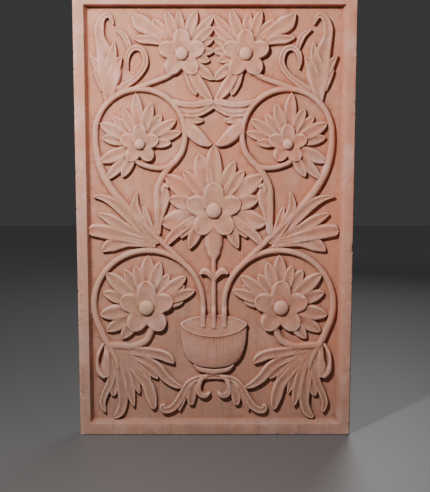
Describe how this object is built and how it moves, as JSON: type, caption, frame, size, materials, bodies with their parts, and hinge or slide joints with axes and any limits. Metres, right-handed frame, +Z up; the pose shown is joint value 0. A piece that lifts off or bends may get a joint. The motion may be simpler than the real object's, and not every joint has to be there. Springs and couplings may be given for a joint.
{
  "type": "carved stone relief panel",
  "caption": "Upright sandstone wall panel carved in low relief with a pot of scrolling flowering stems, leaf sprays and scrolls inside a raised frame.",
  "frame": {"origin": "middle of the underside, on the surface that the panel stands on", "axes": "+Z up along the panel's height, -Y out of the carved face, +X to the right as the carving is looked at"},
  "size_m": [0.9, 0.075, 1.44],
  "materials": {
    "sandstone": "fine-grained matt sandstone, softly worn, with faint bedding streaks"
  },
  "bodies": {
    "root": {"relief_panel": "sandstone"}
  },
  "joints": []
}
